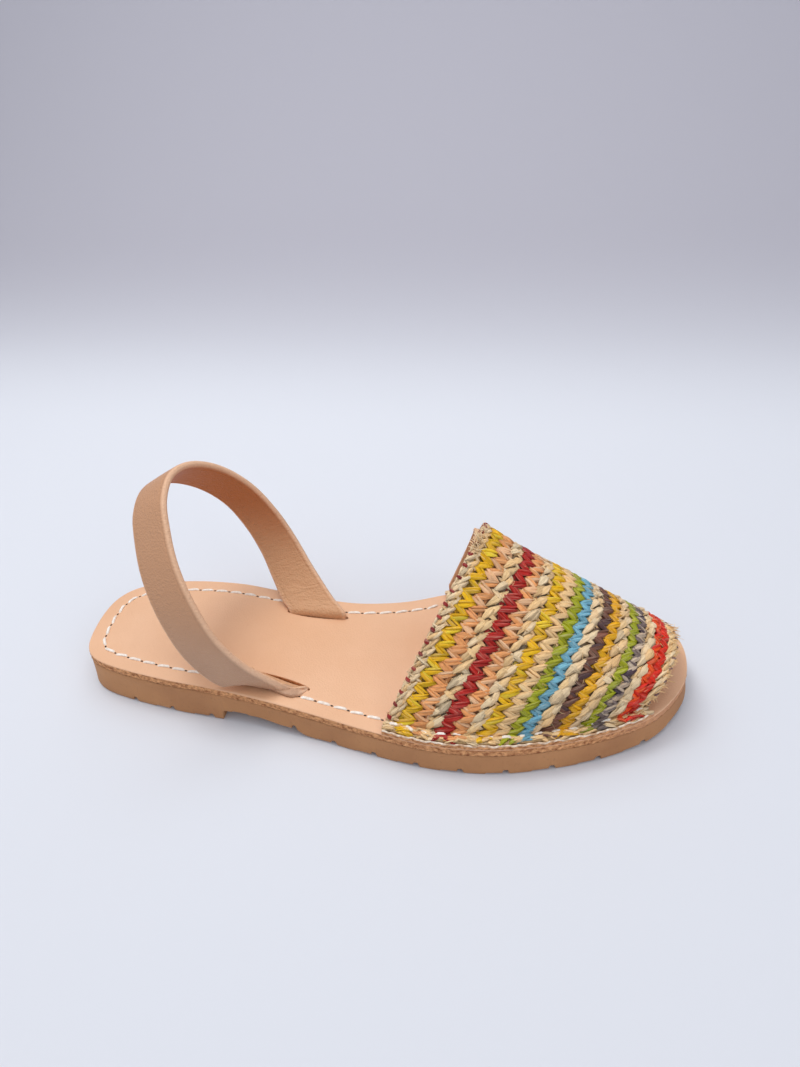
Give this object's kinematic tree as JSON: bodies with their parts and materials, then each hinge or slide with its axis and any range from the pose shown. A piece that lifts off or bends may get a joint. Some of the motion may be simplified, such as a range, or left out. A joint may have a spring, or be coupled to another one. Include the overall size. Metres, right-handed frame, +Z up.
{
  "type": "raffia sandal",
  "caption": "Flat slingback sandal with a woven striped raffia vamp, open throat and toe, a leather heel strap through slits in a leather insole, and a grooved rubber sole.",
  "frame": {"origin": "on the floor, under the middle of the sandal's bounding box", "axes": "+X towards the toe along the sole's length, +Y towards the big-toe side, +Z up"},
  "size_m": [0.2476, 0.0916, 0.0893],
  "materials": {
    "outsole_rubber": "matt tan-brown moulded rubber",
    "insole_leather": "smooth pale vegetable-tanned leather with a raw cut edge",
    "strap_leather": "smooth greyed tan leather, creased inside",
    "raffia": "plaited dyed and natural raffia, softly glossy leaves",
    "lining_leather": "thin cream-tan lining leather",
    "thread": "waxed off-white thread"
  },
  "bodies": {
    "root": {"outsole": "outsole_rubber", "insole": "insole_leather", "raffia_vamp": "raffia", "heel_strap": "strap_leather"}
  },
  "joints": []
}
